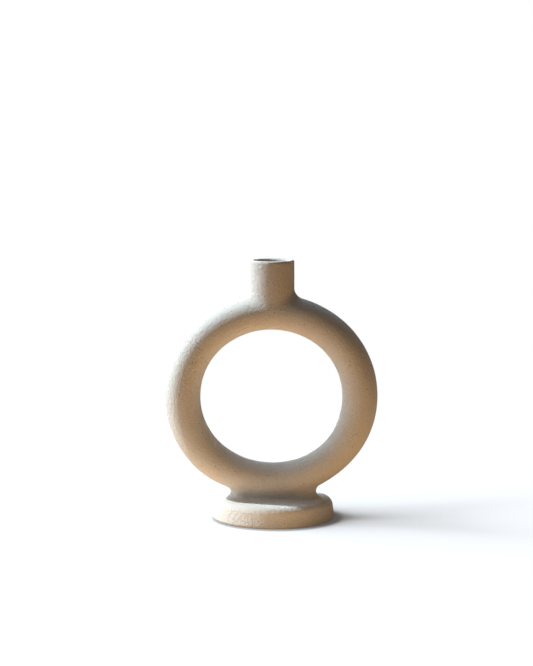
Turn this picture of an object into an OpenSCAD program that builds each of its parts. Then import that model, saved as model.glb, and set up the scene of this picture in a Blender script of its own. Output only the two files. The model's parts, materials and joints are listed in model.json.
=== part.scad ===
// Donut vase: an oval stoneware ring standing on a turned disc foot, with a short
// round neck on the crown. Hand joined from thrown and pressed pieces.
// Frame: +Z up, X across the ring, Y front to back, origin on the table under the ring.

/* [Ring] */
// outer width of the ring
ring_w = 170; // [120:1:260]
// outer height of the ring, slightly slumped
ring_h = 163.7; // [118:0.1:258]
// thickness of the tube seen from the front
tube_h = 28.2; // [22:0.1:36]
// depth of the tube front to back
tube_d = 36.4; // [31:0.1:46]
// clay wall of the hollow ring
ring_wall = 4.5; // [3.5:0.1:6]

/* [Ring seams] */
// width of the slip filled seam at the surface
seam_w = 3.2; // [2:0.1:5]
// depth of the slip filled seam
seam_depth = 2.6; // [1.5:0.1:3]

/* [Neck] */
// outer diameter of the neck
neck_d = 35.2; // [28:0.1:40]
// height of the rim above the crown of the ring
neck_rise = 27.5; // [18:0.1:60]
// clear diameter of the mouth
mouth_d = 28.2; // [22:0.1:30]
// clear diameter where the neck opens into the ring
throat_d = 25.4; // [18:0.1:26]
// sideways set of the neck from the ring axis
neck_shift = 0.7; // [-2:0.1:2]
// hollow radius of the coil smoothed round the neck
collar_r = 9.6; // [6:0.1:11]
// height of that coil above the crown
collar_rise = 5.2; // [4.6:0.1:6]
// reach of that coil along the crown, from the ring axis
collar_reach = 26; // [24:0.5:30]
// thickness of that coil over the front and back of the neck
collar_skin = 0.4; // [0.2:0.05:0.5]

/* [Foot] */
// diameter of the foot at the table
foot_d = 97.8; // [84:0.1:130]
// height of the foot
foot_h = 15.9; // [13:0.1:26]
// narrowing of the foot radius towards its top
foot_draft = 1.35; // [0.5:0.05:3]
// rounding of the upper edge of the foot
foot_edge_r = 5; // [3:0.1:7]
// rounding of the lower edge of the foot
foot_base_r = 1.6; // [1:0.1:2.5]
// sideways set of the foot from the ring axis
foot_shift = 1.8; // [-3:0.1:3]
// diameter of the turned recess under the foot
recess_d = 74; // [50:0.5:78]
// depth of the turned recess under the foot
recess_h = 6; // [4.5:0.1:8]

/* [Saddle] */
// length of the saddle at its waist
saddle_l = 68.4; // [60:0.1:74]
// width of the saddle at its waist
saddle_w = 23.2; // [20:0.1:26]
// radius of the hollow smoothed down to the foot
saddle_r = 4.6; // [3.5:0.1:5]
// height of the saddle waist above the foot, at its ends
saddle_rise = 6.3; // [5.5:0.1:7]
// radius of the hollow smoothed up to the ring, at its ends
saddle_top_r = 3.2; // [2.5:0.1:4]
// depth of the seat cut in the foot for the saddle
seat_h = 1.5; // [1:0.1:3]
// slip gap between the foot and the lowest line of the ring
ring_gap = 0.35; // [0.2:0.05:2]

/* [Liner glaze] */
// thickness of the liner glaze
glaze_t = 0.4; // [0.3:0.05:0.8]
// bare clay left under the rim
glaze_stop = 5; // [3:0.5:12]

/* [Hidden] */
$fn = 180;
// Both ovals are drawn from four arcs whose centres make 3-4-5 triangles, so that
// every junction falls on a plain decimal.
// centre line of the tube
line_a = (ring_w - tube_h) / 2;
line_b = (ring_h - tube_h) / 2;
line_k = (line_a - line_b) / 2;
line_side_r = line_a - 3 * line_k;
line_top_r = line_b + 4 * line_k;

// section of the tube
sec_u = tube_h / 2;
sec_v = tube_d / 2;
sec_k = (sec_v - sec_u) / 2;
sec_end_r = sec_v - 3 * sec_k;
sec_side_r = sec_u + 4 * sec_k;

// heights above the table
ring_z = foot_h + ring_gap + ring_h / 2;
crown_z = ring_z + ring_h / 2;
throat_z = ring_z + line_b;
rim_z = crown_z + neck_rise;

neck_r = neck_d / 2;
mouth_r = mouth_d / 2;
throat_r = throat_d / 2;
lip_r = (neck_r - mouth_r) / 2;
bore_top_z = rim_z - lip_r;

foot_r = foot_d / 2;
foot_top_r = foot_r - foot_draft;
over = 1;

// four centre oval, section of the tube drawn inward by inset
module tube_section(inset) {
    end_r = sec_end_r - inset;
    side_r = sec_side_r - inset;
    join_v = 0.6 * side_r;
    intersection() {
        translate([-4 * sec_k, 0]) circle(r = side_r);
        translate([4 * sec_k, 0]) circle(r = side_r);
        translate([-sec_u - over, -join_v]) square([tube_h + 2 * over, 2 * join_v]);
    }
    for (side = [0, 1])
        mirror([0, side])
            intersection() {
                translate([0, 3 * sec_k]) circle(r = end_r);
                translate([-sec_u, join_v]) square([tube_h, end_r]);
            }
}

// the section child swept along one of the four arcs of the oval centre line:
// 0 right, 1 crown, 2 left, 3 base
module sweep_arc(turn) {
    upright = turn == 1 || turn == 3;
    flip = turn > 1 ? -1 : 1;
    reach = ring_w;
    translate([0, 0, ring_z])
        rotate([90, 0, 0])
            intersection() {
                translate(upright ? [0, -4 * line_k * flip, 0] : [3 * line_k * flip, 0, 0])
                    rotate_extrude()
                        translate([upright ? line_top_r : line_side_r, 0])
                            children();
                translate([0, 0, -tube_d])
                    linear_extrude(2 * tube_d)
                        polygon(upright
                            ? [[0, -4 * line_k * flip], [3 * reach, (4 * reach - 4 * line_k) * flip],
                               [-3 * reach, (4 * reach - 4 * line_k) * flip]]
                            : [[3 * line_k * flip, 0], [(3 * line_k + 3 * reach) * flip, 4 * reach],
                               [(3 * line_k + 3 * reach) * flip, -4 * reach]]);
            }
}

// the section child swept round the whole oval
module sweep_ring() {
    for (turn = [0 : 3])
        sweep_arc(turn)
            children();
}

// wedge of the bevelled joint, pointing into the tube on the outer side
module seam_wedge() {
    polygon([[sec_u - seam_depth, 0], [sec_u + over, -wedge_half()],
             [sec_u + over, wedge_half()]]);
}

function wedge_half() = seam_w / 2 * (seam_depth + over) / seam_depth;

// one side of the hollow section with the edges bevelled for the seams
module half_section() {
    difference() {
        tube_section(0);
        tube_section(ring_wall);
        translate([-ring_w, 0]) square([2 * ring_w, tube_d]);
        seam_wedge();
        mirror([1, 0]) seam_wedge();
    }
}

// solid that clears the mouth, the neck and the hole in the crown
module bore_solid(inset, bottom_z) {
    translate([neck_shift, 0, 0])
        rotate_extrude()
            polygon([[0, bottom_z], [throat_r - inset, bottom_z],
                     [throat_r - inset, crown_z - sec_u / 2],
                     [mouth_r - inset, crown_z + collar_rise],
                     [mouth_r - inset, rim_z + over], [0, rim_z + over]]);
}

module half_ring(back) {
    difference() {
        sweep_ring()
            mirror([0, back]) half_section();
        bore_solid(0, throat_z);
    }
}

module ring_front_half() {
    color("#D8CAB4") half_ring(1);
}

module ring_back_half() {
    color("#D5C7B1") half_ring(0);
}

module outer_seam_slip() {
    color("#DDD0BC")
        difference() {
            sweep_ring()
                intersection() {
                    tube_section(0);
                    seam_wedge();
                }
            bore_solid(0, throat_z);
        }
}

module inner_seam_slip() {
    color("#DDD0BC")
        sweep_ring()
            intersection() {
                tube_section(0);
                mirror([1, 0]) seam_wedge();
            }
}

// neck tube: straight wall with a round lip
module neck() {
    color("#DACCB7")
        difference() {
            translate([neck_shift, 0, 0])
                rotate_extrude() {
                    translate([0, throat_z]) square([neck_r, bore_top_z - throat_z]);
                    translate([0, bore_top_z]) square([neck_r - lip_r, lip_r]);
                    intersection() {
                        translate([neck_r - lip_r, bore_top_z]) circle(r = lip_r);
                        translate([neck_r - lip_r, bore_top_z]) square([lip_r, lip_r]);
                    }
                }
            lip_bore();
            sweep_arc(1) tube_section(0);
        }
}

// the bore with the inner half of the round lip left standing
module lip_bore() {
    difference() {
        bore_solid(0, throat_z - over);
        translate([neck_shift, 0, bore_top_z])
            rotate_extrude()
                intersection() {
                    translate([neck_r - lip_r, 0]) circle(r = lip_r);
                    translate([mouth_r, 0]) square([lip_r, lip_r]);
                }
    }
}

// coil smoothed into the corner between neck and crown: a hollow flare under a
// rounded arch, pared flush front and back
module neck_collar() {
    top_z = crown_z + collar_rise;
    face = neck_r + collar_skin;
    arch_tube_r = sec_v + collar_skin;
    // the arch drops from the top of the coil to the ring within its reach
    arch_drop = collar_rise + collar_reach * collar_reach / ring_w;
    arch_r = (collar_reach * collar_reach / arch_drop + arch_drop) / 2;
    color("#D9CBB6")
        difference() {
            intersection() {
                translate([neck_shift, 0, 0])
                    rotate_extrude()
                        difference() {
                            translate([0, throat_z])
                                square([neck_r + collar_r, top_z - throat_z]);
                            translate([neck_r + collar_r, top_z]) circle(r = collar_r);
                            square([neck_r, rim_z]);
                        }
                translate([0, 0, top_z - arch_r])
                    rotate([90, 0, 0])
                        rotate_extrude()
                            translate([arch_r - arch_tube_r, 0]) circle(r = arch_tube_r);
                translate([-ring_w / 2, -face, throat_z])
                    cube([ring_w, 2 * face, top_z]);
            }
            sweep_arc(1) tube_section(0);
        }
}

// profile of the saddle edge, hollowed down to the foot and up to the ring
module saddle_profile() {
    half_w = saddle_w / 2;
    waist_z = foot_h + saddle_rise;
    union() {
        difference() {
            translate([0, foot_h - seat_h])
                square([half_w + saddle_r, seat_h + saddle_r]);
            translate([half_w + saddle_r, foot_h + saddle_r]) circle(r = saddle_r);
        }
        translate([0, foot_h + saddle_r])
            square([half_w, saddle_rise - saddle_r]);
        difference() {
            translate([0, waist_z]) square([half_w + 0.6 * saddle_top_r, saddle_top_r]);
            translate([half_w + saddle_top_r, waist_z]) circle(r = saddle_top_r);
        }
    }
}

module saddle() {
    half_w = saddle_w / 2;
    run = saddle_l / 2 - half_w;
    color("#D7C9B3")
        difference() {
            translate([foot_shift, 0, 0]) {
                for (side = [0, 1])
                    mirror([side, 0, 0])
                        translate([run, 0, 0])
                            rotate_extrude(angle = 180, start = -90) saddle_profile();
                translate([-run, 0, 0])
                    rotate([90, 0, 90])
                        linear_extrude(2 * run) {
                            saddle_profile();
                            mirror([1, 0]) saddle_profile();
                        }
            }
            sweep_arc(3) tube_section(0);
        }
}

// turned disc with a drafted wall, soft edges, a recess beneath and a seat on top
module foot() {
    half_w = saddle_w / 2 + saddle_r;
    run = saddle_l / 2 - saddle_w / 2;
    color("#D6C6AE")
        translate([foot_shift, 0, 0])
            difference() {
                rotate_extrude()
                    foot_profile();
                for (side = [-1, 1])
                    translate([side * run, 0, foot_h - seat_h])
                        cylinder(r = half_w, h = seat_h + over);
                translate([-run, -half_w, foot_h - seat_h])
                    cube([2 * run, 2 * half_w, seat_h + over]);
            }
}

module foot_profile() {
    difference() {
        union() {
            polygon([[0, 0], [foot_r - foot_base_r, 0], [foot_r - foot_base_r, foot_base_r],
                     [foot_r, foot_base_r], [foot_top_r, foot_h - foot_edge_r],
                     [foot_top_r - foot_edge_r, foot_h - foot_edge_r],
                     [foot_top_r - foot_edge_r, foot_h], [0, foot_h]]);
            intersection() {
                translate([foot_r - foot_base_r, foot_base_r]) circle(r = foot_base_r);
                translate([foot_r - foot_base_r, 0]) square(foot_base_r);
            }
            intersection() {
                translate([foot_top_r - foot_edge_r, foot_h - foot_edge_r])
                    circle(r = foot_edge_r);
                translate([foot_top_r - foot_edge_r, foot_h - foot_edge_r])
                    square(foot_edge_r);
            }
        }
        translate([-over, -over]) square([recess_d / 2 + over, recess_h + over]);
    }
}

// thin glassy coat on every inside wall
module liner_glaze() {
    color("#6E6A55")
        difference() {
            union() {
                sweep_ring() tube_section(ring_wall);
                bore_solid(0, throat_z);
            }
            sweep_ring() tube_section(ring_wall + glaze_t);
            bore_solid(glaze_t, throat_z);
            translate([-ring_w / 2, -ring_w / 2, rim_z - glaze_stop])
                cube([ring_w, ring_w, glaze_stop + 2 * over]);
        }
}

ring_front_half();
ring_back_half();
outer_seam_slip();
inner_seam_slip();
neck();
neck_collar();
saddle();
foot();
liner_glaze();
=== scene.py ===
# %% [markdown]
# A donut vase in unglazed stoneware: a hollow oval ring stands on a thick turned foot, and
# a short round neck opens its crown. The imported solids come in first as a fixed frame.
# They carry the sizes, and every piece made here is laid over the solid that it dresses.

# %% The imported solids
import json
import math

import bmesh
import bpy
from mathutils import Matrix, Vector

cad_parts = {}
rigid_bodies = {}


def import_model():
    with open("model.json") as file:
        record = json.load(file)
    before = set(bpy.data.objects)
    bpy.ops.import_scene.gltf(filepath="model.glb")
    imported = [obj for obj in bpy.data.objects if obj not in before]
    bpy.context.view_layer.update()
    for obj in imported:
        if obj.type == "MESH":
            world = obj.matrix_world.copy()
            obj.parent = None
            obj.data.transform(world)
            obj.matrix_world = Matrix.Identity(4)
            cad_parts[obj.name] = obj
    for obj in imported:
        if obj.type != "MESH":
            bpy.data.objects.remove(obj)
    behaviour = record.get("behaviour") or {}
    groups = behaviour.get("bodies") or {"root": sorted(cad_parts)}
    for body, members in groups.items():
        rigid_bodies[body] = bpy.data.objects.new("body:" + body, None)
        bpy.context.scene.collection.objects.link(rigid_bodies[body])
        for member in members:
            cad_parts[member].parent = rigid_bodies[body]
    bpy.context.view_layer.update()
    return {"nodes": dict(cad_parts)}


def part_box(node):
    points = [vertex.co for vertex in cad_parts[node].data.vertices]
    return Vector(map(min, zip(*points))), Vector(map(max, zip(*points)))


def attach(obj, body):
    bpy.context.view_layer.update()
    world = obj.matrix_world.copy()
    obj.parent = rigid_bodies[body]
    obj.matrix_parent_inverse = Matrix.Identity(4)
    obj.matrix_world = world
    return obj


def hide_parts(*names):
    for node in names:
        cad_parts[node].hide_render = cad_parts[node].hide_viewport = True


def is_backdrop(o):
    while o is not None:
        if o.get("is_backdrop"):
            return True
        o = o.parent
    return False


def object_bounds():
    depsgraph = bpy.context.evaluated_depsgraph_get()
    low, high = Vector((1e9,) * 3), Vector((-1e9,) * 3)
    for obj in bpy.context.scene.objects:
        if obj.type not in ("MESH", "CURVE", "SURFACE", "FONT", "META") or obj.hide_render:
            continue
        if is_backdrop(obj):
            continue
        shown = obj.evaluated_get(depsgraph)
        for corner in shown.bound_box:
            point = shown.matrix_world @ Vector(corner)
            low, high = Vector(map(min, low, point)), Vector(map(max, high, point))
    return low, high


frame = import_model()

MM = 0.001

# %% [markdown]
# Every node tree below is built with one small function. It adds a node, gives it its
# settings, and feeds its inputs in order: a socket is linked and a value is typed in. An
# input that has to be picked by its name comes as a pair of name and feed.


# %% Adding a node
def add(tree, kind, settings, *feeds):
    node = tree.nodes.new(kind)
    for key, value in settings.items():
        setattr(node, key, value)
    for place, feed in enumerate(feeds):
        named = isinstance(feed, tuple) and isinstance(feed[0], str)
        key, value = feed if named else (place, feed)
        if isinstance(value, bpy.types.NodeSocket):
            tree.links.new(value, node.inputs[key])
        elif value is not None:
            node.inputs[key].default_value = value
    return node


# %% [markdown]
# The potter joins ring, neck and foot with soft clay and smooths every corner with a
# finger, so the fired vase has one skin with hollow corners. Separate tubes and discs
# would meet in hard lines. A distance field gives the smoothed corner directly: a formula
# says how far any point lies from the clay, two forms are joined by a rounded minimum of
# their distances, and the skin is where the distance is zero. Each formula becomes a node
# group that works out one number, one node a row.


# %% A formula as a node group
formulas = {}


def formula(name, terms, rows):
    tree = bpy.data.node_groups.new(name, "GeometryNodeTree")
    tree.interface.new_socket("result", in_out="OUTPUT", socket_type="NodeSocketFloat")
    for term in terms:
        tree.interface.new_socket(term, in_out="INPUT", socket_type="NodeSocketFloat")
    start = tree.nodes.new("NodeGroupInput")
    known = {term: start.outputs[term] for term in terms}
    for result, word, *feeds in rows:
        feeds = [known[feed] if isinstance(feed, str) else feed for feed in feeds]
        if word in formulas:
            node = add(tree, "GeometryNodeGroup", {"node_tree": formulas[word]}, *feeds)
        else:
            node = add(tree, "ShaderNodeMath", {"operation": word}, *feeds)
        known[result] = node.outputs[0]
    add(tree, "NodeGroupOutput", {}, known[rows[-1][0]])
    formulas[name] = tree
    print(name, "takes", len(terms), "terms and", len(rows), "steps")


formula("length", ["a", "b"], [
    ("aa", "MULTIPLY", "a", "a"),
    ("sum", "MULTIPLY_ADD", "b", "b", "aa"),
    ("root", "SQRT", "sum"),
])

# %% [markdown]
# The ring is drawn like a drawing-board oval, from four arcs whose centres make 3-4-5
# triangles, and so is the section of its tube. The distance to such an oval is the
# distance to whichever arc faces the point.

# %% The four centre oval
formula("oval", ["along", "across", "half_long", "half_short"], [
    ("a", "ABSOLUTE", "along"),
    ("b", "ABSOLUTE", "across"),
    ("gap", "SUBTRACT", "half_long", "half_short"),
    ("end_shift", "MULTIPLY", "gap", 1.5),
    ("side_shift", "MULTIPLY", "gap", 2.0),
    ("a_end", "SUBTRACT", "a", "end_shift"),
    ("b_side", "ADD", "b", "side_shift"),
    ("four", "MULTIPLY", "a_end", 4.0),
    ("three", "MULTIPLY", "b", 3.0),
    ("faces_end", "GREATER_THAN", "four", "three"),
    ("to_end", "length", "a_end", "b"),
    ("to_side", "length", "a", "b_side"),
    ("end_r", "SUBTRACT", "half_long", "end_shift"),
    ("side_r", "ADD", "half_short", "side_shift"),
    ("past_end", "SUBTRACT", "to_end", "end_r"),
    ("past_side", "SUBTRACT", "to_side", "side_r"),
    ("change", "SUBTRACT", "past_end", "past_side"),
    ("past", "MULTIPLY_ADD", "change", "faces_end", "past_side"),
])

# %% [markdown]
# A finger drawn round an inner corner leaves a hollow of its own radius. The same rule
# turned inside out rounds an outer edge.

# %% Smoothed corners
formula("hollow_join", ["a", "b", "radius"], [
    ("ra", "SUBTRACT", "radius", "a"),
    ("rb", "SUBTRACT", "radius", "b"),
    ("ra0", "MAXIMUM", "ra", 0.0),
    ("rb0", "MAXIMUM", "rb", 0.0),
    ("near", "MINIMUM", "a", "b"),
    ("far", "MAXIMUM", "near", "radius"),
    ("corner", "length", "ra0", "rb0"),
    ("joined", "SUBTRACT", "far", "corner"),
])
formula("round_edge", ["a", "b", "radius"], [
    ("na", "MULTIPLY", "a", -1.0),
    ("nb", "MULTIPLY", "b", -1.0),
    ("joined", "hollow_join", "na", "nb", "radius"),
    ("rounded", "MULTIPLY", "joined", -1.0),
])

# %% [markdown]
# The sizes of the vase, in millimetres. What the solids show is read from their boxes;
# the corner radii, the clay wall and the small unevenness of handwork are added to them.

# %% Sizes of the vase
boxes = {name: [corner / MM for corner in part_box(name)] for name in frame["nodes"]}
ring_low, ring_high = boxes["ring_front_half"]
neck_low, neck_high = boxes["neck"]
foot_low, foot_high = boxes["foot"]
TUBE_H = 28.2
RIM_DROP = 0.4
sizes = {
    "ring_z": 98.1,
    "line_half_w": (ring_high.x - ring_low.x - TUBE_H) / 2,
    "line_half_h": 67.75,
    "tube_half_h": TUBE_H / 2,
    "tube_half_d": -ring_low.y,
    "wall": 4.5,
    "neck_x": (neck_low.x + neck_high.x) / 2,
    "neck_r": (neck_high.x - neck_low.x) / 2,
    "mouth_r": 14.1,
    "throat_r": 12.7,
    "rim_z": neck_high.z,
    "neck_hollow": 6.7,
    "foot_x": (foot_low.x + foot_high.x) / 2,
    "foot_r": (foot_high.x - foot_low.x) / 2,
    "foot_h": foot_high.z - RIM_DROP,
    "foot_edge": 4.3,
    "foot_dome": 2.3,
    "foot_draft": 0.144,
    "saddle_run": 22.6,
    "saddle_half_w": 11.6,
    "saddle_hollow": 4.6,
    "seat_hollow": 3.2,
    "recess_r": 37.0,
    "recess_h": 6.0,
    "scrape_right": 1.1,
    "scrape_left": 0.95,
    "scrape_hole": 0.36,
}
print({name: round(value, 2) for name, value in sizes.items()})

# %% [markdown]
# The ring is a tube round its oval line. Before it dried it was scraped: it is about a
# millimetre slimmer low on the right and low on the left, and a little round the lower
# half of its hole. Each scrape is strongest in one direction from the middle of the ring,
# and a high power of that direction keeps it local.

# %% The ring
LOW_RIGHT, LOW_RIGHT_POWER = (0.643, -0.766), 14.0
LOW_LEFT, LOW_LEFT_POWER = (-0.375, -0.927), 40.0
ring_rows = [
    ("up", "SUBTRACT", "z", "ring_z"),
    ("from_line", "oval", "x", "up", "line_half_w", "line_half_h"),
    ("hollow", "oval", "y", "from_line", "tube_half_d", "tube_half_h"),
    ("out", "length", "x", "up"),
    ("out1", "MAXIMUM", "out", 1.0),
    ("rightward", "DIVIDE", "x", "out1"),
    ("upward", "DIVIDE", "up", "out1"),
    ("low_right0", "MULTIPLY", "rightward", LOW_RIGHT[0]),
    ("low_right1", "MULTIPLY_ADD", "upward", LOW_RIGHT[1], "low_right0"),
    ("low_right2", "MAXIMUM", "low_right1", 0.0),
    ("low_right", "POWER", "low_right2", LOW_RIGHT_POWER),
    ("low_left0", "MULTIPLY", "rightward", LOW_LEFT[0]),
    ("low_left1", "MULTIPLY_ADD", "upward", LOW_LEFT[1], "low_left0"),
    ("low_left2", "MAXIMUM", "low_left1", 0.0),
    ("low_left", "POWER", "low_left2", LOW_LEFT_POWER),
    ("under0", "MULTIPLY", "upward", -1.0),
    ("under1", "MAXIMUM", "under0", 0.0),
    ("under_half", "POWER", "under1", 0.5),
    ("cut_right", "MULTIPLY", "low_right", "scrape_right"),
    ("outer_cut", "MULTIPLY_ADD", "low_left", "scrape_left", "cut_right"),
    ("inner_cut", "MULTIPLY", "under_half", "scrape_hole"),
    ("cut_change", "SUBTRACT", "outer_cut", "inner_cut"),
    ("cut_sum", "ADD", "outer_cut", "inner_cut"),
    ("line_moved", "MULTIPLY_ADD", "cut_change", 0.5, "from_line"),
    ("tube_slim", "MULTIPLY_ADD", "cut_sum", -0.5, "tube_half_h"),
    ("tube", "oval", "y", "line_moved", "tube_half_d", "tube_slim"),
]
print("the ring takes", len(ring_rows), "steps")

# %% [markdown]
# The neck is an upright rod. Its lower end is rounded so that it stays inside the crown
# and leaves no ledge there. The hollow of clay round it is full at the sides, where the
# ring runs away under it, and about a third of that in front and behind.

# %% The neck
NECK_END_Z = 158.0
NECK_END_ROUND = 10.0
FRONT_SHARE = 0.3
neck_rows = [
    ("nx", "SUBTRACT", "x", "neck_x"),
    ("n_out", "length", "nx", "y"),
    ("n_side", "SUBTRACT", "n_out", "neck_r"),
    ("n_low", "SUBTRACT", NECK_END_Z, "z"),
    ("rod", "round_edge", "n_side", "n_low", NECK_END_ROUND),
    ("n_out1", "MAXIMUM", "n_out", 1.0),
    ("n_cos", "DIVIDE", "nx", "n_out1"),
    ("n_cos2", "MULTIPLY", "n_cos", "n_cos"),
    ("n_share", "MULTIPLY_ADD", "n_cos2", 1.0 - FRONT_SHARE, FRONT_SHARE),
    ("n_hollow", "MULTIPLY", "n_share", "neck_hollow"),
    ("ring_neck", "hollow_join", "tube", "rod", "n_hollow"),
]
print("the neck takes", len(neck_rows), "steps")

# %% [markdown]
# The saddle is a short pad of clay with round ends that carries the ring on the foot.

# %% The saddle
SADDLE_TOP = 30.0
SADDLE_END = 12.0
saddle_rows = [
    ("fx", "SUBTRACT", "x", "foot_x"),
    ("fx_abs", "ABSOLUTE", "fx"),
    ("past_run", "SUBTRACT", "fx_abs", "saddle_run"),
    ("past_run0", "MAXIMUM", "past_run", 0.0),
    ("s_out", "length", "past_run0", "y"),
    ("s_side", "SUBTRACT", "s_out", "saddle_half_w"),
    ("s_top", "SUBTRACT", "z", SADDLE_TOP),
    ("s_low", "SUBTRACT", SADDLE_END, "z"),
    ("s_part", "MAXIMUM", "s_side", "s_top"),
    ("s_body", "MAXIMUM", "s_part", "s_low"),
    ("upper", "hollow_join", "ring_neck", "s_body", "seat_hollow"),
]
print("the saddle takes", len(saddle_rows), "steps")

# %% [markdown]
# The foot was turned on the wheel: a thick disc that leans in a little towards its top,
# rises about two millimetres to the middle, and has a recess beneath, so that it stands on
# an outer band. Its edges are rounded as a sponge leaves them.

# %% The foot
FOOT_SPREAD = 0.23
BAND_ROUND = 1.6
RECESS_CORNER = 1.5
RECESS_EDGE = 0.8
foot_rows = [
    ("f_out", "length", "fx", "y"),
    ("f_lean", "MULTIPLY_ADD", "z", "foot_draft", "f_out"),
    ("f_base", "ADD", "foot_r", FOOT_SPREAD),
    ("f_side", "SUBTRACT", "f_lean", "f_base"),
    ("f_ratio", "DIVIDE", "f_out", "foot_r"),
    ("f_ratio2", "MULTIPLY", "f_ratio", "f_ratio"),
    ("f_ratio3", "MINIMUM", "f_ratio2", 1.0),
    ("f_lower", "MULTIPLY", "f_ratio3", "foot_dome"),
    ("f_middle", "ADD", "foot_h", "foot_dome"),
    ("f_crown", "SUBTRACT", "f_middle", "f_lower"),
    ("f_top", "SUBTRACT", "z", "f_crown"),
    ("f_disc", "round_edge", "f_side", "f_top", "foot_edge"),
    ("under", "MULTIPLY", "z", -1.0),
    ("f_turned", "round_edge", "f_disc", "under", BAND_ROUND),
    ("r_side", "SUBTRACT", "recess_r", "f_out"),
    ("r_top", "SUBTRACT", "recess_h", "z"),
    ("r_hollow", "hollow_join", "r_side", "r_top", RECESS_CORNER),
    ("foot", "round_edge", "f_turned", "r_hollow", RECESS_EDGE),
    ("solid", "hollow_join", "upper", "foot", "saddle_hollow"),
]
print("the foot takes", len(foot_rows), "steps")

# %% [markdown]
# The vase holds water, so it is hollow: the inside of the ring is the ring's own section a
# wall smaller, and the mouth runs down into it, narrowing from mouth to throat. These are
# taken away from the clay, and the lip is then a full round between mouth and neck.

# %% The hollow and the lip
THROAT_Z = 165.85
FUNNEL_Z, FUNNEL_H = 172.9, 12.25
hollow_rows = [
    ("cavity", "ADD", "hollow", "wall"),
    ("over_throat", "SUBTRACT", "z", FUNNEL_Z),
    ("share", "DIVIDE", "over_throat", FUNNEL_H),
    ("share0", "MAXIMUM", "share", 0.0),
    ("share1", "MINIMUM", "share0", 1.0),
    ("widening", "SUBTRACT", "mouth_r", "throat_r"),
    ("bore_r", "MULTIPLY_ADD", "share1", "widening", "throat_r"),
    ("b_side", "SUBTRACT", "n_out", "bore_r"),
    ("b_low", "SUBTRACT", THROAT_Z, "z"),
    ("bore", "MAXIMUM", "b_side", "b_low"),
    ("empty", "MINIMUM", "cavity", "bore"),
    ("filled", "MULTIPLY", "empty", -1.0),
    ("hollowed", "MAXIMUM", "solid", "filled"),
]
lip_rows = [
    ("lip_2r", "SUBTRACT", "neck_r", "mouth_r"),
    ("lip_r", "MULTIPLY", "lip_2r", 0.5),
    ("lip_z", "SUBTRACT", "rim_z", "lip_r"),
    ("lip_mid", "SUBTRACT", "neck_r", "lip_r"),
    ("l_side", "SUBTRACT", "n_out", "lip_mid"),
    ("l_up", "SUBTRACT", "z", "lip_z"),
    ("l_far", "length", "l_side", "l_up"),
    ("lip", "SUBTRACT", "l_far", "lip_r"),
    ("at_lip", "GREATER_THAN", "z", "lip_z"),
    ("change", "SUBTRACT", "lip", "hollowed"),
    ("skin", "MULTIPLY_ADD", "change", "at_lip", "hollowed"),
]
formula("clay", ["x", "y", "z", *sizes],
        [*ring_rows, *neck_rows, *saddle_rows, *foot_rows, *hollow_rows, *lip_rows])

# %% [markdown]
# The distance in a tree of its own takes a place and adds the slow swell that hands leave
# in soft clay: a fifth of a millimetre over a couple of centimetres, none at the table.

# %% The skin with its handmade swell
SWELL = 0.16
SWELL_SPAN = 26.0
SWELL_FROM, SWELL_FULL = 1.0, 9.0
skin = bpy.data.node_groups.new("skin_distance", "GeometryNodeTree")
skin.interface.new_socket("distance", in_out="OUTPUT", socket_type="NodeSocketFloat")
skin.interface.new_socket("place", in_out="INPUT", socket_type="NodeSocketVector")
for name in sizes:
    skin.interface.new_socket(name, in_out="INPUT", socket_type="NodeSocketFloat")
given = skin.nodes.new("NodeGroupInput")
in_mm = add(skin, "ShaderNodeVectorMath", {"operation": "SCALE"}, given.outputs[0],
            ("Scale", 1 / MM))
axes = add(skin, "ShaderNodeSeparateXYZ", {}, in_mm.outputs[0])
plain = add(skin, "GeometryNodeGroup", {"node_tree": formulas["clay"]}, *axes.outputs,
            *[given.outputs[name] for name in sizes])
swell = add(skin, "ShaderNodeTexNoise", {"noise_dimensions": "3D"}, in_mm.outputs[0],
            ("Scale", 1 / SWELL_SPAN), ("Detail", 1.0), ("Roughness", 0.4))
lift = add(skin, "ShaderNodeMapRange", {"interpolation_type": "SMOOTHSTEP"},
           axes.outputs[2], SWELL_FROM, SWELL_FULL, 0.0, 2.0 * SWELL)
middle = add(skin, "ShaderNodeMath", {"operation": "SUBTRACT"}, swell.outputs[0], 0.5)
total = add(skin, "ShaderNodeMath", {"operation": "MULTIPLY_ADD"}, middle.outputs[0],
            lift.outputs[0], plain.outputs[0])
add(skin, "NodeGroupOutput", {}, total.outputs[0])
print("the skin swells by at most", SWELL, "mm either way")

# %% [markdown]
# The field is sampled in a block of small cells and the skin is drawn where it crosses
# zero. A volume keeps only what is above its threshold, so the distance is turned over and
# lifted to a level that the threshold then picks out.

# %% The net drawn from the field
CELL = 1.1
MARGIN = 3.0
LEVEL = 5.0
low = [min(b[0][axis] for b in boxes.values()) - MARGIN for axis in range(3)]
high = [max(b[1][axis] for b in boxes.values()) + MARGIN for axis in range(3)]

body = bpy.data.node_groups.new("clay_skin", "GeometryNodeTree")
body.interface.new_socket("Geometry", in_out="OUTPUT", socket_type="NodeSocketGeometry")
body.interface.new_socket("cell", in_out="INPUT", socket_type="NodeSocketFloat")
body.interface.new_socket("finish", in_out="INPUT", socket_type="NodeSocketMaterial")
for name in sizes:
    body.interface.new_socket(name, in_out="INPUT", socket_type="NodeSocketFloat")
asked = body.nodes.new("NodeGroupInput")
wanted = [asked.outputs[name] for name in sizes]
here = add(body, "GeometryNodeInputPosition", {}).outputs[0]
field = add(body, "GeometryNodeGroup", {"node_tree": skin}, here, *wanted)
density = add(body, "ShaderNodeMath", {"operation": "SUBTRACT"}, LEVEL, field.outputs[0])
cells = []
for axis in range(3):
    count = add(body, "ShaderNodeMath", {"operation": "DIVIDE"}, high[axis] - low[axis],
                asked.outputs["cell"])
    cells.append(count.outputs[0])
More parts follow.
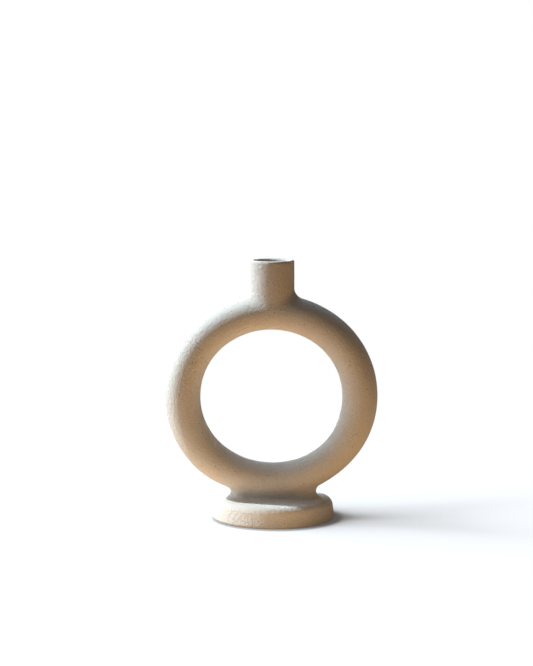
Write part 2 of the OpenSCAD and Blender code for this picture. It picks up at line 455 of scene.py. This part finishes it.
block = add(body, "GeometryNodeVolumeCube", {}, density.outputs[0], 0.0,
            [c * MM for c in low], [c * MM for c in high], *cells)
net = add(body, "GeometryNodeVolumeToMesh", {}, block.outputs[0], ("Threshold", LEVEL))
print("cells in the block:", [round((h - l) / CELL) for l, h in zip(low, high)])

# %% [markdown]
# That net follows the cells, so every point is then moved along the steepest slope until
# it lies on the skin itself. Four samples at the corners of a tiny pyramid round the point
# give both the slope and the distance still to go, and three rounds bring the point home.

# %% The net drawn tight on the skin
ROUNDS = 3
NUDGE = 0.05 * MM
CORNERS = ((1, -1, -1), (-1, -1, 1), (-1, 1, -1), (1, 1, 1))
shape = net.outputs[0]
for step in range(ROUNDS):
    slope, level = None, None
    for corner in CORNERS:
        spot = add(body, "ShaderNodeVectorMath", {"operation": "MULTIPLY_ADD"}, corner,
                   (NUDGE, NUDGE, NUDGE), here)
        sample = add(body, "GeometryNodeGroup", {"node_tree": skin}, spot.outputs[0], *wanted)
        share = add(body, "ShaderNodeVectorMath", {"operation": "SCALE"}, corner,
                    ("Scale", sample.outputs[0]))
        slope = share if slope is None else add(
            body, "ShaderNodeVectorMath", {"operation": "ADD"}, slope.outputs[0], share.outputs[0])
        level = sample if level is None else add(
            body, "ShaderNodeMath", {"operation": "ADD"}, level.outputs[0], sample.outputs[0])
    outward = add(body, "ShaderNodeVectorMath", {"operation": "NORMALIZE"}, slope.outputs[0])
    depth = add(body, "ShaderNodeMath", {"operation": "MULTIPLY"}, level.outputs[0],
                -MM / len(CORNERS))
    shift = add(body, "ShaderNodeVectorMath", {"operation": "SCALE"}, outward.outputs[0],
                ("Scale", depth.outputs[0]))
    moved = add(body, "GeometryNodeSetPosition", {}, shape, ("Offset", shift.outputs[0]))
    shape = moved.outputs[0]
smooth = add(body, "GeometryNodeSetShadeSmooth", {}, shape)
real = add(body, "GeometryNodeRealizeInstances", {}, smooth.outputs[0])
dressed = add(body, "GeometryNodeSetMaterial", {}, real.outputs[0],
              ("Material", asked.outputs["finish"]))
add(body, "NodeGroupOutput", {}, dressed.outputs[0])
print("the skin's tree has", len(body.nodes), "nodes")


# %% [markdown]
# Colours are written as sRGB hex, the way a paint chart gives them, and one function turns
# them to the linear numbers that the shader works in.

# %% Colours
def linear(hex_colour):
    parts = [int(hex_colour[i:i + 2], 16) / 255 for i in (1, 3, 5)]
    return [*((c / 12.92 if c <= 0.04045 else ((c + 0.055) / 1.055) ** 2.4) for c in parts), 1.0]


# %% [markdown]
# Unglazed stoneware with sand in it, wiped with a damp sponge before firing. The eye gets a
# dry, matte, pale and nearly neutral clay that takes up the colour of the light round it, a
# gritty relief of grains and pebbles of one to two millimetres that shows where the light
# grazes it, a faint cloudiness where the sponge left more or less fine clay, and small
# dark iron flecks. The real grit is finer, about half a millimetre: it is drawn as coarse
# as it has to be to show at the size of the picture.

# %% The colour of the clay
GRAIN = 1.0
PEBBLE = 2.3
CLOUD = 34.0
stoneware = bpy.data.materials.new("sandy_stoneware_unglazed")
stoneware.use_nodes = True
clay_nodes = stoneware.node_tree
clay_nodes.nodes.clear()
spot = add(clay_nodes, "ShaderNodeTexCoord", {}).outputs["Object"]
cloud = add(clay_nodes, "ShaderNodeTexNoise", {}, spot, ("Scale", 1 / (CLOUD * MM)),
            ("Detail", 3.0))
grain = add(clay_nodes, "ShaderNodeTexNoise", {}, spot, ("Scale", 1 / (GRAIN * MM)),
            ("Detail", 1.0), ("Roughness", 0.5))
pebble = add(clay_nodes, "ShaderNodeTexNoise", {}, spot, ("Scale", 1 / (PEBBLE * MM)),
             ("Detail", 2.0), ("Roughness", 0.5))
base = add(clay_nodes, "ShaderNodeMix", {"data_type": "RGBA"}, cloud.outputs[0])
base.inputs[6].default_value = linear("#D6D1C9")
base.inputs[7].default_value = linear("#DFDBD4")
sandy = add(clay_nodes, "ShaderNodeMapRange", {}, grain.outputs[0], 0.3, 0.7, 0.93, 1.06)
tinted = add(clay_nodes, "ShaderNodeVectorMath", {"operation": "SCALE"}, base.outputs[2],
             ("Scale", sandy.outputs[0]))
print("grain, pebbles and clouds in mm:", GRAIN, PEBBLE, CLOUD)

# %% [markdown]
# Iron flecks have one possible place in each cell of a coarse net. Most of them are small,
# the largest are just under a millimetre across, and three cells in ten stay empty.

# %% Iron flecks
FLECK_SPACING = 2.6
FLECK_R = 0.175
EMPTY_SHARE = 0.3
flecks = add(clay_nodes, "ShaderNodeTexVoronoi", {"feature": "F1"}, spot,
             ("Scale", 1 / (FLECK_SPACING * MM)))
pick = add(clay_nodes, "ShaderNodeSeparateXYZ", {}, flecks.outputs["Color"])
fleck_r = add(clay_nodes, "ShaderNodeMapRange", {}, pick.outputs[0], EMPTY_SHARE, 1.0, 0.0,
              FLECK_R)
inside = add(clay_nodes, "ShaderNodeMath", {"operation": "SUBTRACT"}, fleck_r.outputs[0],
             flecks.outputs["Distance"])
shown = add(clay_nodes, "ShaderNodeMapRange", {}, inside.outputs[0], 0.0, 0.03, 0.0, 0.85)
speckled = add(clay_nodes, "ShaderNodeMix", {"data_type": "RGBA"}, shown.outputs[0])
clay_nodes.links.new(tinted.outputs[0], speckled.inputs[6])
speckled.inputs[7].default_value = linear("#4A3624")
print("largest fleck in mm:", round(2 * FLECK_R * FLECK_SPACING, 2))

# %% [markdown]
# Relief shows only where the light grazes the clay: pebbles give the rough edge between
# light and shade, and grains break it up. Fired bare clay has hardly any shine.

# %% Relief and surface
RELIEF = 0.55
height = add(clay_nodes, "ShaderNodeMath", {"operation": "MULTIPLY_ADD"}, grain.outputs[0], 0.8,
             pebble.outputs[0])
bump = add(clay_nodes, "ShaderNodeBump", {}, ("Strength", 1.0), ("Distance", RELIEF * MM),
           ("Height", height.outputs[0]))
surface = add(clay_nodes, "ShaderNodeBsdfPrincipled", {}, ("Base Color", speckled.outputs[2]),
              ("Roughness", 0.9), ("Normal", bump.outputs[0]))
surface.inputs["IOR"].default_value = 1.45
surface.inputs["Specular IOR Level"].default_value = 0.25
add(clay_nodes, "ShaderNodeOutputMaterial", {}, surface.outputs[0])
print(stoneware.name, "has", len(clay_nodes.nodes), "nodes")

# %% [markdown]
# The inside is lined with a thin satin glaze, so that the vase holds water. From the front
# only a crescent of it shows behind the lip, where the mouth is in shade. Its greyish olive,
# darker than the clay, is partly the glaze and partly painted shade of that dark mouth. Its
# solid has the right shape already, so it stays and only gets this finish.

# %% Liner glaze
POOL = 9.0
liner = bpy.data.materials.new("olive_liner_glaze")
liner.use_nodes = True
glaze_nodes = liner.node_tree
glaze_nodes.nodes.clear()
spot = add(glaze_nodes, "ShaderNodeTexCoord", {}).outputs["Object"]
pool = add(glaze_nodes, "ShaderNodeTexNoise", {}, spot, ("Scale", 1 / (POOL * MM)),
           ("Detail", 3.0))
glaze_and_painted_shade_tone = add(glaze_nodes, "ShaderNodeMix", {"data_type": "RGBA"}, ("Factor", pool.outputs[0]))
# Painted shade in part: these olive greys are darker than the clay to stand for the shade in the
# mouth.
glaze_and_painted_shade_tone.inputs[6].default_value = linear("#9A9684")
glaze_and_painted_shade_tone.inputs[7].default_value = linear("#ABA793")
wet = add(glaze_nodes, "ShaderNodeMapRange", {}, pool.outputs[0], 0.3, 0.7, 0.22, 0.38)
coat = add(glaze_nodes, "ShaderNodeBsdfPrincipled", {}, ("Base Color", glaze_and_painted_shade_tone.outputs[2]),
           ("Roughness", wet.outputs[0]))
coat.inputs["IOR"].default_value = 1.5
add(glaze_nodes, "ShaderNodeOutputMaterial", {}, coat.outputs[0])
glaze = frame["nodes"]["liner_glaze"]
glaze.data.materials.clear()
glaze.data.materials.append(liner)
print(glaze.name, "is finished in", liner.name)

# %% [markdown]
# The tree now makes the whole skin, which is turned to a plain mesh. Its smooth normals are
# noted on it, because the cuts that follow would bend them.

# %% The whole skin
holder = bpy.data.objects.new("clay_skin", bpy.data.meshes.new("clay_skin"))
bpy.context.scene.collection.objects.link(holder)
made = holder.modifiers.new("clay_skin", "NODES")
made.node_group = body
for item in body.interface.items_tree:
    if item.in_out == "INPUT":
        made[item.identifier] = {"cell": CELL, "finish": stoneware, **sizes}[item.name]
evaluated = holder.evaluated_get(bpy.context.evaluated_depsgraph_get())
whole = bpy.data.meshes.new_from_object(evaluated)
bpy.data.objects.remove(holder)
normal = whole.attributes.new("whole_normal", "FLOAT_VECTOR", "POINT")
for n, v in enumerate(whole.vertex_normals):
    normal.data[n].vector = v.vector
print("whole skin:", len(whole.vertices), "points,", len(whole.polygons), "faces")


# %% [markdown]
# The vase was put together from a neck, a ring and a foot, so the skin is divided where
# these meet: over the crown, and on top of the foot. The cut faces are closed and flat, and
# each piece keeps the smooth normals of the whole skin, so that no line shows where two
# pieces meet.

# %% A flat cut, closed
def cut_flat(grid, height, side):
    cut = bmesh.ops.bisect_plane(
        grid, geom=grid.verts[:] + grid.edges[:] + grid.faces[:], dist=1e-7,
        plane_co=(0, 0, height * MM), plane_no=(0, 0, side), clear_outer=True)
    rim = [e for e in cut["geom_cut"] if isinstance(e, bmesh.types.BMEdge)]
    caps = bmesh.ops.triangle_fill(grid, edges=rim, use_beauty=True, normal=(0, 0, side))
    for face in caps["geom"]:
        if isinstance(face, bmesh.types.BMFace):
            face.smooth = False
            face.normal_update()
            if face.normal.z * side < 0:
                face.normal_flip()


# %% The whole skin's normals on a piece
def keep_normals(mesh):
    whole_normals = mesh.attributes["whole_normal"].data
    loops = [None] * len(mesh.loops)
    for face in mesh.polygons:
        for corner in face.loop_indices:
            soft = Vector(whole_normals[mesh.loops[corner].vertex_index].vector)
            loops[corner] = soft.normalized() if face.use_smooth else face.normal
    mesh.normals_split_custom_set(loops)
    mesh.attributes.remove(mesh.attributes["whole_normal"])


# %% Dividing the skin
def divide(name, bottom, top):
    grid = bmesh.new()
    grid.from_mesh(whole)
    for height, side in ((bottom, -1), (top, 1)):
        if height is not None:
            cut_flat(grid, height, side)
    mesh = bpy.data.meshes.new(name)
    grid.to_mesh(mesh)
    open_edges = sum(not e.is_manifold for e in grid.edges)
    print(name, "faces:", len(mesh.polygons), "open edges:", open_edges,
          "volume in ml:", round(grid.calc_volume() * 1e6, 1))
    grid.free()
    keep_normals(mesh)
    if not mesh.materials:
        mesh.materials.append(stoneware)
    piece = bpy.data.objects.new(name, mesh)
    bpy.context.scene.collection.objects.link(piece)
    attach(piece, "root")
    return piece


CROWN_CUT = 180.6
FOOT_CUT = sizes["foot_h"] + sizes["foot_dome"] + 0.1
neck = divide("neck_skin", CROWN_CUT, None)
ring = divide("ring_skin", FOOT_CUT, CROWN_CUT)
foot = divide("foot_skin", None, FOOT_CUT)
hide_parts("neck", "neck_collar")
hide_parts("ring_front_half", "ring_back_half", "outer_seam_slip", "inner_seam_slip",
            "saddle")
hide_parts("foot")
bpy.data.meshes.remove(whole)

# %% [markdown]
# The camera stands where the photograph was taken from: a long lens a good way off and a
# little above the vase, looking slightly down.

# %% Camera
FRAME_W, FRAME_H = 533, 666
FOCAL_PX = 2163.1
SENSOR = 36.0
CAMERA_AT = (-3.86, -1712.3, 353.6)
LOOKS_DOWN = 6.818
camera_data = bpy.data.cameras.new("camera")
camera_data.sensor_width = SENSOR
camera_data.lens = FOCAL_PX / max(FRAME_W, FRAME_H) * SENSOR
camera = bpy.data.objects.new("camera", camera_data)
camera.location = [c * MM for c in CAMERA_AT]
camera.rotation_euler = (math.radians(90 - LOOKS_DOWN), 0, 0)
bpy.context.scene.collection.objects.link(camera)
bpy.context.scene.camera = camera
print("lens in mm:", round(camera_data.lens, 2))

# %% [markdown]
# The vase stands on plain white paper in a room with much wood in it. The floor is one
# large square a hair under the foot. Its material answers two questions: what the eye sees,
# straight or in a reflection, and what light the floor throws back on the clay.


# %% Floor
def seen_by_the_eye(tree):
    ray = add(tree, "ShaderNodeLightPath", {}).outputs
    seen = ray["Is Camera Ray"]
    for kind in ("Is Glossy Ray", "Is Transmission Ray"):
        seen = add(tree, "ShaderNodeMath", {"operation": "MAXIMUM"}, seen, ray[kind]).outputs[0]
    return seen


FLOOR_HALF = 60.0
FLOOR_Z = -0.0002
floor_mesh = bpy.data.meshes.new("floor")
floor_mesh.from_pydata([(x * FLOOR_HALF, y * FLOOR_HALF, FLOOR_Z) for x, y in
                        ((-1, -1), (1, -1), (1, 1), (-1, 1))], [], [(0, 1, 2, 3)])
floor = bpy.data.objects.new("floor", floor_mesh)
bpy.context.scene.collection.objects.link(floor)
paper = bpy.data.materials.new("pale_paper_floor")
paper.use_nodes = True
paper_nodes = paper.node_tree
paper_nodes.nodes.clear()
floor_mesh.materials.append(paper)
floor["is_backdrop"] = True
print("floor of", 2 * FLOOR_HALF, "m")

# %% [markdown]
# For the light that it throws back, the floor is warm wood with painted light and shade on it:
# a painted pool of light close by the foot, and painted glows that shine like lamps, soft on
# the left, strong in front with a small one before the foot, and weak on the right. Painted
# shadow dims it just right of the foot, where the vase shades it, and painted shade dims a
# narrow band all round the foot's edge. That is what colours the shaded side tan while the
# sunlit side stays neutral.

# %% The wood that the vase feels, with painted light and shade
# Painted shadow: the wood is darker just right of the foot, where the vase shades it.
PAINTED_SHADOW_AT = (0.08, -0.015, 0.0)
# Painted light: in these patches the floor glows and lights the vase like a lamp.
# tint, strength, place and reach in metres
PAINTED_GLOWS = {
    "left": ("#FFEBD5", 0.32, (-0.30, -0.05, 0.0), 0.5),
    "front": ("#FFB44A", 0.75, (0.03, -0.30, 0.0), 0.5),
    "right": ("#FFD9A8", 0.45, (0.35, -0.05, 0.0), 0.5),
    "before the foot": ("#FFD9B4", 0.75, (0.01, -0.14, 0.0), 0.10),
}
spot = add(paper_nodes, "ShaderNodeTexCoord", {}).outputs["Object"]
from_foot = add(paper_nodes, "ShaderNodeVectorMath", {"operation": "DISTANCE"}, spot,
                (sizes["foot_x"] * MM, 0.0, 0.0)).outputs["Value"]
# Painted pool of light: the wood is brightest at the foot and fades out 0.4 m away.
near = add(paper_nodes, "ShaderNodeMapRange", {"interpolation_type": "SMOOTHSTEP"},
           from_foot, 0.0, 0.4, 0.94, 0.0)
from_painted_shadow = add(paper_nodes, "ShaderNodeVectorMath", {"operation": "DISTANCE"}, spot, PAINTED_SHADOW_AT)
painted_vase_shadow = add(paper_nodes, "ShaderNodeMapRange", {"interpolation_type": "SMOOTHSTEP"},
           from_painted_shadow.outputs["Value"], 0.02, 0.09, 0.35, 1.0)
# Painted shade: a narrow darker band all round the foot's edge.
painted_foot_band_shade = add(paper_nodes, "ShaderNodeMapRange", {"interpolation_type": "SMOOTHSTEP"},
            from_foot, 0.048, 0.068, 0.45, 1.0)
dim = add(paper_nodes, "ShaderNodeMath", {"operation": "MULTIPLY"}, painted_vase_shadow.outputs[0],
          painted_foot_band_shade.outputs[0]).outputs[0]
lit = add(paper_nodes, "ShaderNodeMath", {"operation": "MULTIPLY"}, near.outputs[0], dim)
warm = add(paper_nodes, "ShaderNodeVectorMath", {"operation": "SCALE"}, linear("#E0C4A4")[:3],
           ("Scale", lit.outputs[0]))
wood = add(paper_nodes, "ShaderNodeBsdfDiffuse", {}, warm.outputs[0])
for where, (tint, strength, place, reach) in PAINTED_GLOWS.items():
    away = add(paper_nodes, "ShaderNodeVectorMath", {"operation": "DISTANCE"}, spot, place)
    fade = add(paper_nodes, "ShaderNodeMapRange", {"interpolation_type": "SMOOTHSTEP"},
               away.outputs["Value"], 0.0, reach, strength, 0.0)
    fade = add(paper_nodes, "ShaderNodeMath", {"operation": "MULTIPLY"}, fade.outputs[0], dim)
    shine = add(paper_nodes, "ShaderNodeEmission", {}, linear(tint), fade.outputs[0])
    wood = add(paper_nodes, "ShaderNodeAddShader", {}, wood.outputs[0], shine.outputs[0])
    print("glow", where, "at", place, "of strength", strength)

# %% [markdown]
# For the eye the floor is white, with painted shade and light on it: a painted shadow, darkest
# right under the edge of the foot, and a painted white glow that grows with distance from the
# foot and whitens the shadow of the vase.

# %% The white paper that is seen, with painted shadow and painted light
PAPER = "#EAF3FC"
EDGE_AT = (sizes["foot_x"] * MM + 0.002, -0.004, 0.0)
# Painted shadow: the paper is darker in a narrow band right under the edge of the foot.
under_edge = add(paper_nodes, "ShaderNodeVectorMath", {"operation": "DISTANCE"}, spot, EDGE_AT)
painted_edge_shadow = add(paper_nodes, "ShaderNodeMapRange", {"interpolation_type": "SMOOTHSTEP"},
              under_edge.outputs["Value"], 0.0485, 0.0555, 0.4, 1.0)
shaded = add(paper_nodes, "ShaderNodeVectorMath", {"operation": "SCALE"}, linear(PAPER)[:3],
             ("Scale", painted_edge_shadow.outputs[0]))
pale = add(paper_nodes, "ShaderNodeBsdfDiffuse", {}, shaded.outputs[0])
# Painted light: a white glow mixed into the paper, growing with distance from the foot, lightens
# the shadow of the vase.
glow = add(paper_nodes, "ShaderNodeEmission", {}, linear("#FFFFFF"), 1.0)
past_foot = add(paper_nodes, "ShaderNodeMapRange", {}, from_foot, 0.055, 1.0, 0.0006, 1.0)
painted_glow_share = add(paper_nodes, "ShaderNodeMath", {"operation": "POWER"}, past_foot.outputs[0], 0.35)
sheet = add(paper_nodes, "ShaderNodeMixShader", {}, painted_glow_share.outputs[0], pale.outputs[0],
            glow.outputs[0])
both = add(paper_nodes, "ShaderNodeMixShader", {}, seen_by_the_eye(paper_nodes),
           wood.outputs[0], sheet.outputs[0])
add(paper_nodes, "ShaderNodeOutputMaterial", {}, both.outputs[0])
print(paper.name, "has", len(paper_nodes.nodes), "nodes")

# %% [markdown]
# A low sun comes from the left and a little behind. It draws the crisp edge of light down
# the neck and the bright wedge on top of the foot. A broad patch of window sky beside it
# fills the lit side, and a second one, higher and further behind, reaches the inside of the
# ring. The paper has a lamp of its own, as wide as a window, so that its shadow opens into a
# soft fan: a sun would draw a hard band there. Each lamp is kept to the things it lights.

# %% Lamps
# tint, energy, spread, turn to behind and rise in degrees, and what the lamp lights
LAMPS = {
    "low_sun": ("#EDF7FF", 4.5, 2.0, 13.5, 44.0, "vase"),
    "window_sky": ("#DDF4FF", 2.2, 60.0, 0.0, 2.0, "vase"),
    "back_sky": ("#E2F0FF", 1.8, 60.0, 62.0, 38.0, "vase"),
    "paper_window": ("#FFFFFF", 6.9, 60.0, 3.0, 32.0, "floor"),
}
lit_groups = {"vase": bpy.data.collections.new("vase_light"),
              "floor": bpy.data.collections.new("floor_light")}
for thing in bpy.context.scene.objects:
    if thing.type == "MESH":
        lit_groups["floor" if thing is floor else "vase"].objects.link(thing)
for name, (tint, energy, spread, behind, rise, group) in LAMPS.items():
    lamp_data = bpy.data.lights.new(name, "SUN")
    lamp_data.color = linear(tint)[:3]
    lamp_data.energy = energy
    lamp_data.angle = math.radians(spread)
    lamp = bpy.data.objects.new(name, lamp_data)
    a, e = math.radians(behind), math.radians(rise)
    towards = Vector((-math.cos(a) * math.cos(e), math.sin(a) * math.cos(e), math.sin(e)))
    lamp.rotation_euler = towards.to_track_quat("Z", "Y").to_euler()
    lamp.light_linking.receiver_collection = lit_groups[group]
    bpy.context.scene.collection.objects.link(lamp)
    print(name, "from", [round(v, 2) for v in towards], "on the", group)

# %% [markdown]
# Round the vase is a dim warm room, which fills the deepest shade. The eye sees plain white
# there instead, so that the background is white without any more light on the clay.

# %% The room
ROOM_LIGHT = 0.08
world = bpy.data.worlds.new("pale_room")
bpy.context.scene.world = world
world.use_nodes = True
sky = world.node_tree
sky.nodes.clear()
room = add(sky, "ShaderNodeBackground", {}, linear("#FFF0E2"), ROOM_LIGHT)
white = add(sky, "ShaderNodeBackground", {}, linear("#FFFFFF"), 1.0)
chosen = add(sky, "ShaderNodeMixShader", {}, seen_by_the_eye(sky), room.outputs[0],
             white.outputs[0])
add(sky, "ShaderNodeOutputWorld", {}, chosen.outputs[0])
bpy.context.scene.view_settings.view_transform = "Standard"
print("room light:", ROOM_LIGHT)

# %% [markdown]
# Last, the dressed vase is measured and its box is printed in millimetres. It has to fill the
# solids' box and not reach past it.

# %% The box of the dressed vase
low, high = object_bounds()
print("dressed vase in mm:", [round(v / MM, 2) for v in (*low, *high)])
